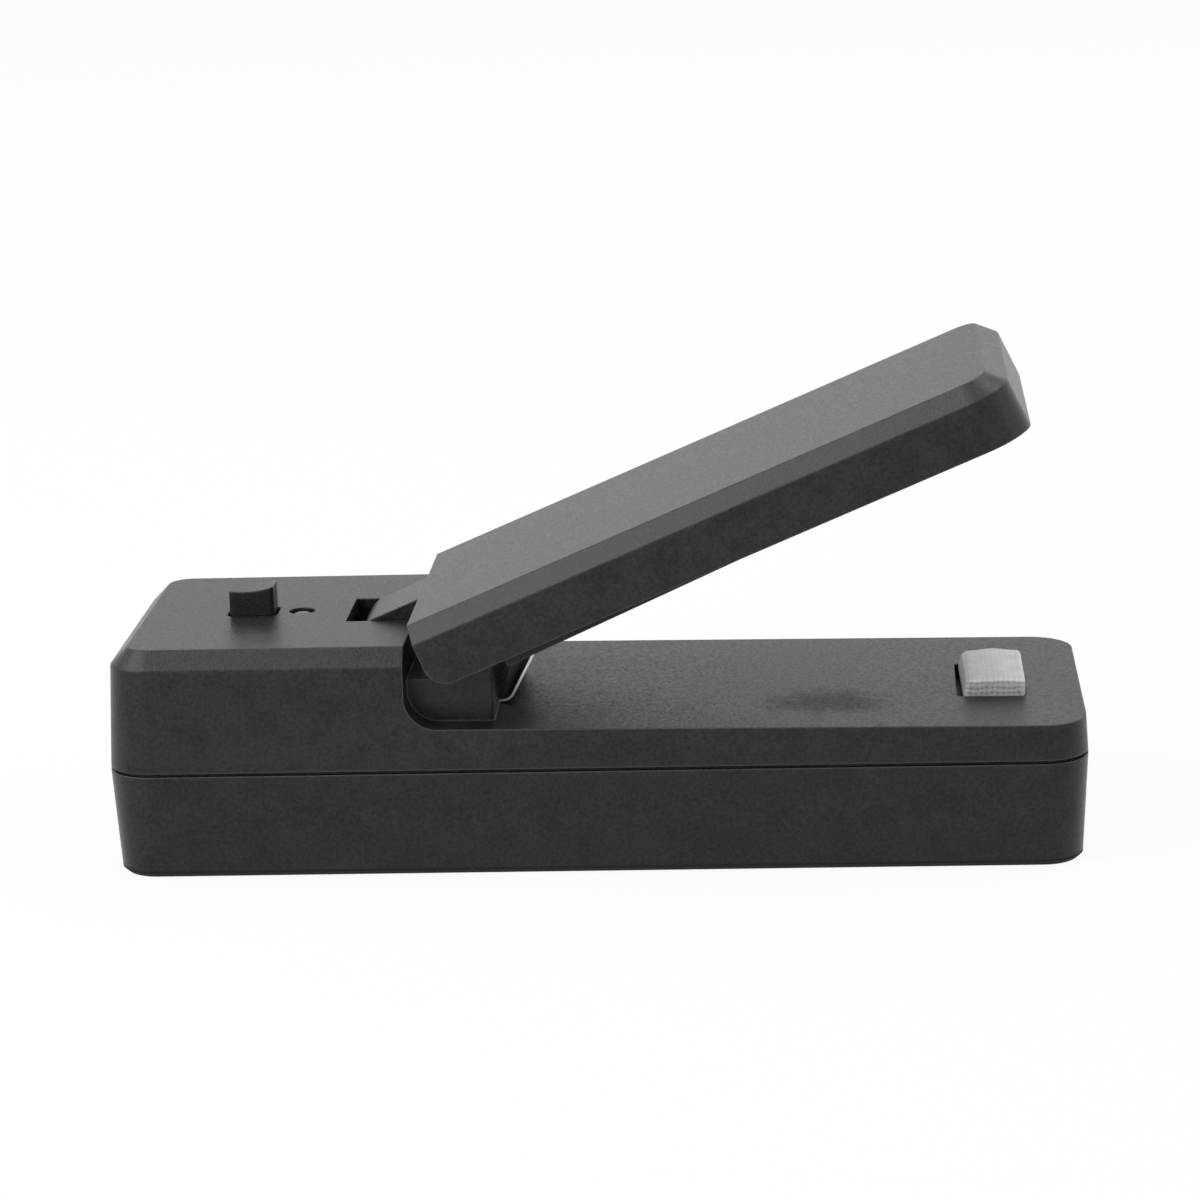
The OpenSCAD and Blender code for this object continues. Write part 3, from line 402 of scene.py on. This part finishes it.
steel = (0.62, 0.61, 0.59)
finishes = {
    "shell_plastic": makePlastic("shellPlastic", shellPlastic),
    "plate_plastic": makePlastic("platePlastic", {
        **shellPlastic, "dark": 0.006, "light": 0.011, "rough": 0.5}),
    "button_plastic": makePlastic("buttonPlastic", {**shellPlastic, "dark": 0.007, "light": 0.013}),
    "bright_steel": makeMetal("brightSteel", steel, 0.28, (1, 1, 1)),
    "resistance_strip": makeMetal("resistanceStrip", (0.50, 0.46, 0.42), 0.38, (1, 0.1, 1)),
    "spring_steel": makePlain("springSteel", (0.010, 0.010, 0.011), 0.45, 0.2 * mm, 0.003 * mm, 0.2),
    "heat_proof_block": makePlain("heatProofBlock", (0.030, 0.026, 0.023), 0.5, 0.2 * mm, 0.01 * mm),
    "woven_cloth": makeCloth("wovenCloth", glassCloth),
    "silicone_pad": makePlain("siliconePad", (0.42, 0.08, 0.05), 0.55, 0.2 * mm, 0.004 * mm),
    "red_insulation": makePlain("redInsulation", (0.50, 0.02, 0.015), 0.4, 0.5 * mm, 0.004 * mm),
    "black_insulation": makePlain("blackInsulation", (0.02, 0.02, 0.022), 0.4, 0.5 * mm, 0.004 * mm),
    "cell_foil": makeMetal("cellFoil", (0.66, 0.67, 0.69), 0.42, (1, 1, 1)),
    "foam": makePlain("foam", (0.05, 0.05, 0.052), 0.9, 0.15 * mm, 0.05 * mm),
    "board_laminate": makePlain("boardLaminate", (0.015, 0.12, 0.045), 0.35, 0.3 * mm, 0.004 * mm),
    "chip_plastic": makePlain("chipPlastic", (0.022, 0.022, 0.024), 0.5, 0.1 * mm, 0.004 * mm),
    "plunger_plastic": makePlain("plungerPlastic", (0.55, 0.55, 0.53), 0.45, 0.3 * mm, 0.002 * mm),
    "lamp": makePlain("lamp", (0.75, 0.72, 0.45), 0.3, 0.3 * mm, 0.002 * mm),
    "lens": makePlain("lens", (0.10, 0.10, 0.10), 0.25, 0.4 * mm, 0.001 * mm, 0.5),
}
slots = {}
for name, node in nodes.items():
    slots[name] = node.data.materials[0].name
    node.data.materials[0] = finishes[slots[name]]
nodes["upper_shell"].data.materials[0] = makePlastic("deckPlastic", {**shellPlastic, "deck": lowDeck})
nodes["lower_shell"].data.materials[0] = makePlastic("footPlastic", {**shellPlastic, "foot": shellFoot})
shearedEdge = makeMetal("shearedEdge", (0.80, 0.80, 0.79), 0.35, (1, 1, 1))
print("finishes made:", len(finishes))


# A new piece that stands for a node, on the node's body
def makePiece(name, bm, node, materials=()):
    mesh = bpy.data.meshes.new(name)
    bm.to_mesh(mesh)
    bm.free()
    for material in materials or [finishes[slots[node]]]:
        mesh.materials.append(material)
    piece = bpy.data.objects.new(name, mesh)
    bpy.context.scene.collection.objects.link(piece)
    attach(piece, nodes[node]["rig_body"])
    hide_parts(node)
    return piece


# How a node's mesh is made one skin, with its flat faces whole again, and where it is shaded sharp
skinning = {
    "weld": 0.001 * mm,
    "flat": math.radians(0.3),
    "corner": math.radians(25),
    "sharp": math.radians(40),
    "leadSharp": math.radians(60),
}


def mergedSkin(node):
    bm = bmesh.new()
    bm.from_mesh(nodes[node].data)
    bmesh.ops.remove_doubles(bm, verts=bm.verts, dist=skinning["weld"])
    bmesh.ops.dissolve_limit(bm, angle_limit=skinning["flat"], verts=bm.verts, edges=bm.edges)
    for face in bm.faces:
        face.smooth = True
    return bm


# Width of the broken edges on each moulded or turned node, in millimetres
brokenEdges = {
    "press_pad": 0.25,
    "heater_block": 0.15,
    "body_screws": 0.06,
    "arm_screws": 0.06,
    "cell_pads": 0.40,
    "battery_cell": 0.30,
}


def makeSoftened(node, width):
    bm = mergedSkin(node)
    joined = [e for e in bm.edges if e.is_manifold and e.is_convex]
    corners = [e for e in joined if e.calc_face_angle() > skinning["corner"]]
    bmesh.ops.bevel(
        bm, geom=corners, offset=width * mm, offset_type="OFFSET", affect="EDGES",
        segments=2, profile=0.5, material=-1, clamp_overlap=False)
    for face in bm.faces:
        face.smooth = True
    piece = makePiece(node + "_skin", bm, node)
    piece.data.set_sharp_from_angle(angle=skinning["sharp"])
    piece.modifiers.new("weighted", "WEIGHTED_NORMAL").keep_sharp = True
    return piece


skins = {node: makeSoftened(node, width) for node, width in brokenEdges.items()}
print("softened:", len(skins))


# Insulated leads with round skins
def makeLead(node):
    piece = makePiece(node + "_skin", mergedSkin(node), node)
    piece.data.set_sharp_from_angle(angle=skinning["leadSharp"])


for node in ("heater_leads", "battery_leads"):
    makeLead(node)
print("leads made")

# Leaf spring: blued faces, bare sheared edges
leafSpring = {
    "keep": 0.05,
    "edgeTurn": 0.7,
}


def makeLeaf(settings):
    bm = mergedSkin("leaf_spring")
    for face in bm.faces:
        face.material_index = 1 if abs(face.normal.y) > settings["edgeTurn"] else 0
    piece = makePiece("leaf_spring_strip", bm, "leaf_spring", [finishes["spring_steel"], shearedEdge])
    piece.data.set_sharp_from_angle(angle=skinning["sharp"])
    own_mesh(piece)


makeLeaf(leafSpring)
print("leaf spring made")

# Cloth over the heating bar: folded round its corners, with a soft ridge along its middle
heaterCloth = {
    "cuts": 39,
    "round": 0.50 * mm,
    "crown": 0.06 * mm,
    "ridge": 0.17 * mm,
    "ridgeWidth": 0.75,
    "ridgeNear": 0.4,
    "taper": 0.34 * mm,
    "bulge": 0.24 * mm,
    "foldHighlight": 0.70 * mm,
    "thick": 0.20 * mm,
}


def makeHeaterCloth(settings):
    low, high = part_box("heater_wrap")
    middle, half = (low + high) / 2, (high - low) / 2
    bm = bmesh.new()
    bmesh.ops.create_cube(bm, size=2)
    bmesh.ops.subdivide_edges(bm, edges=bm.edges, cuts=settings["cuts"], use_grid_fill=True)
    bmesh.ops.delete(bm, geom=[f for f in bm.faces if f.normal.z < -0.5], context="FACES")
    flat = bm.loops.layers.uv.new("flat")
    for face in bm.faces:
        for loop in face.loops:
            x, y, z = (share * size for share, size in zip(loop.vert.co, half))
            drop = half.z - z
            if abs(face.normal.x) > 0.5:
                x += math.copysign(drop, face.normal.x)
            elif abs(face.normal.y) > 0.5:
                y += math.copysign(drop, face.normal.y)
            loop[flat].uv = (x / mm, y / mm)
    clothPressAndPaintedLight = bm.verts.layers.float_color.new("clothPressAndPaintedLight")
    radius = settings["round"]
    for vert in bm.verts:
        share = vert.co.copy()
        point = Vector(a * b for a, b in zip(share, half))
        toEdge = sorted((half.x - abs(point.x), half.y - abs(point.y), half.z - point.z))[1]
        # Painted highlight along the folds; the top face, pressed flatter, and the two end faces painted
        # lighter
        foldHighlight = max(0, 1 - toEdge / settings["foldHighlight"]) ** 2
        inner = min(1, toEdge / settings["foldHighlight"])
        pressedAndLitTop = inner if share.z > 0.99 else 0
        paintedEndLight = inner if abs(share.x) > 0.99 else 0
        vert[clothPressAndPaintedLight] = (foldHighlight, pressedAndLitTop, paintedEndLight, 1)
        core = Vector((
            max(-half.x + radius, min(half.x - radius, point.x)),
            max(-half.y + radius, min(half.y - radius, point.y)),
            min(half.z - radius, point.z)))
        point = core + (point - core).normalized() * radius if (point - core).length > 0 else point
        lift, left, back = (share.z + 1) / 2, (1 - share.x) / 2, (1 + share.y) / 2
        aside = min(1, abs(share.x) / settings["ridgeWidth"])
        near = settings["ridgeNear"]
        ridge = math.cos(math.pi / 2 * aside) ** 2 * (near + (1 - near) * back)
        point.z -= (settings["crown"] * share.x ** 2 + settings["ridge"] * (1 - ridge)) * lift
        bulge = settings["bulge"] * math.sin(math.pi * lift) * back
        point.x += (settings["taper"] * lift ** 2 - bulge) * left
        vert.co = middle + point
    for face in bm.faces:
        face.smooth = True
    area = sum(face.calc_area() for face in bm.faces)
    piece = makePiece("heater_cloth", bm, "heater_wrap")
    skin = piece.modifiers.new("skin", "SOLIDIFY")
    skin.thickness, skin.offset = settings["thick"], -1


makeHeaterCloth(heaterCloth)


# Floor and light
studio = {
    "floorSize": 6.0,
    "floorDrop": 0.01 * mm,
    "floorShade": 0.86,
    "floorRough": 0.9,
    "floorSpecular": 0.1,
    "floorGlow": 0.92,
    "fill": 0.35,
    "lamps": [  # name, place, target, size and power
        ("leftSoftbox", (-0.60, -0.18, 0.88), (0, 0, 0), 0.75, 7.4),
        ("topSoftbox", (0.20, 0.36, 1.05), (0, 0, 0), 0.6, 3.8),
        ("rightSoftbox", (0.95, -0.15, 0.60), (0, 0, 0.02), 0.5, 1.4),
        ("frontSoftbox", (-0.30, -0.45, 0.12), (0, 0, 0.02), 0.3, 0.5),
    ],
}


def seenWhite(finish):
    path = finish.node("ShaderNodeLightPath").socket.node
    kinds = ("Is Camera Ray", "Is Glossy Ray", "Is Transmission Ray")
    rays = [Wire(finish, path.outputs[kind]) for kind in kinds]
    clamped = {"operation": "ADD", "use_clamp": True}
    return finish.node("ShaderNodeMath", clamped, {0: rays[0] + rays[1], 1: rays[2]})


def makeFloor(settings):
    bm = bmesh.new()
    bmesh.ops.create_grid(bm, x_segments=1, y_segments=1, size=settings["floorSize"] / 2)
    bmesh.ops.translate(bm, verts=bm.verts, vec=(0, 0, -settings["floorDrop"]))
    mesh = bpy.data.meshes.new("floor")
    bm.to_mesh(mesh)
    bm.free()
    floor = bpy.data.objects.new("floor", mesh)
    bpy.context.scene.collection.objects.link(floor)
    finish = Finish("floorWhite")
    finish.surface({
        "Base Color": grey(settings["floorShade"]),
        "Roughness": settings["floorRough"],
        "Specular IOR Level": settings["floorSpecular"],
    })
    glow = finish.node("ShaderNodeEmission", {}, {"Color": grey(1), "Strength": 1.0})
    lit = Wire(finish, finish.shader.outputs[0])
    share = seenWhite(finish) * settings["floorGlow"]
    mixed = finish.node("ShaderNodeMixShader", {}, {0: share, 1: lit, 2: glow})
    finish.join(mixed, finish.tree.nodes["Material Output"].inputs["Surface"])
    mesh.materials.append(finish.material)


def makeWorld(settings):
    world = bpy.data.worlds.new("studioWorld")
    world.use_nodes = True
    bpy.context.scene.world = world
    sky = Finish("sky", world.node_tree)
    background = world.node_tree.nodes["Background"]
    sky.join(grey(1), background.inputs["Color"])
    sky.join(seenWhite(sky) * (1 - settings["fill"]) + settings["fill"], background.inputs["Strength"])


def makeLamps(settings):
    for name, place, target, size, power in settings["lamps"]:
        light = bpy.data.lights.new(name, "AREA")
        light.shape, light.size, light.energy = "SQUARE", size, power
        lamp = bpy.data.objects.new(name, light)
        aim = Vector(target) - Vector(place)
        lamp.matrix_world = Matrix.Translation(place) @ aim.to_track_quat("-Z", "Y").to_matrix().to_4x4()
        bpy.context.scene.collection.objects.link(lamp)


makeFloor(studio)
makeWorld(studio)
makeLamps(studio)
bpy.context.scene.view_settings.view_transform = "Standard"
print("studio lit")
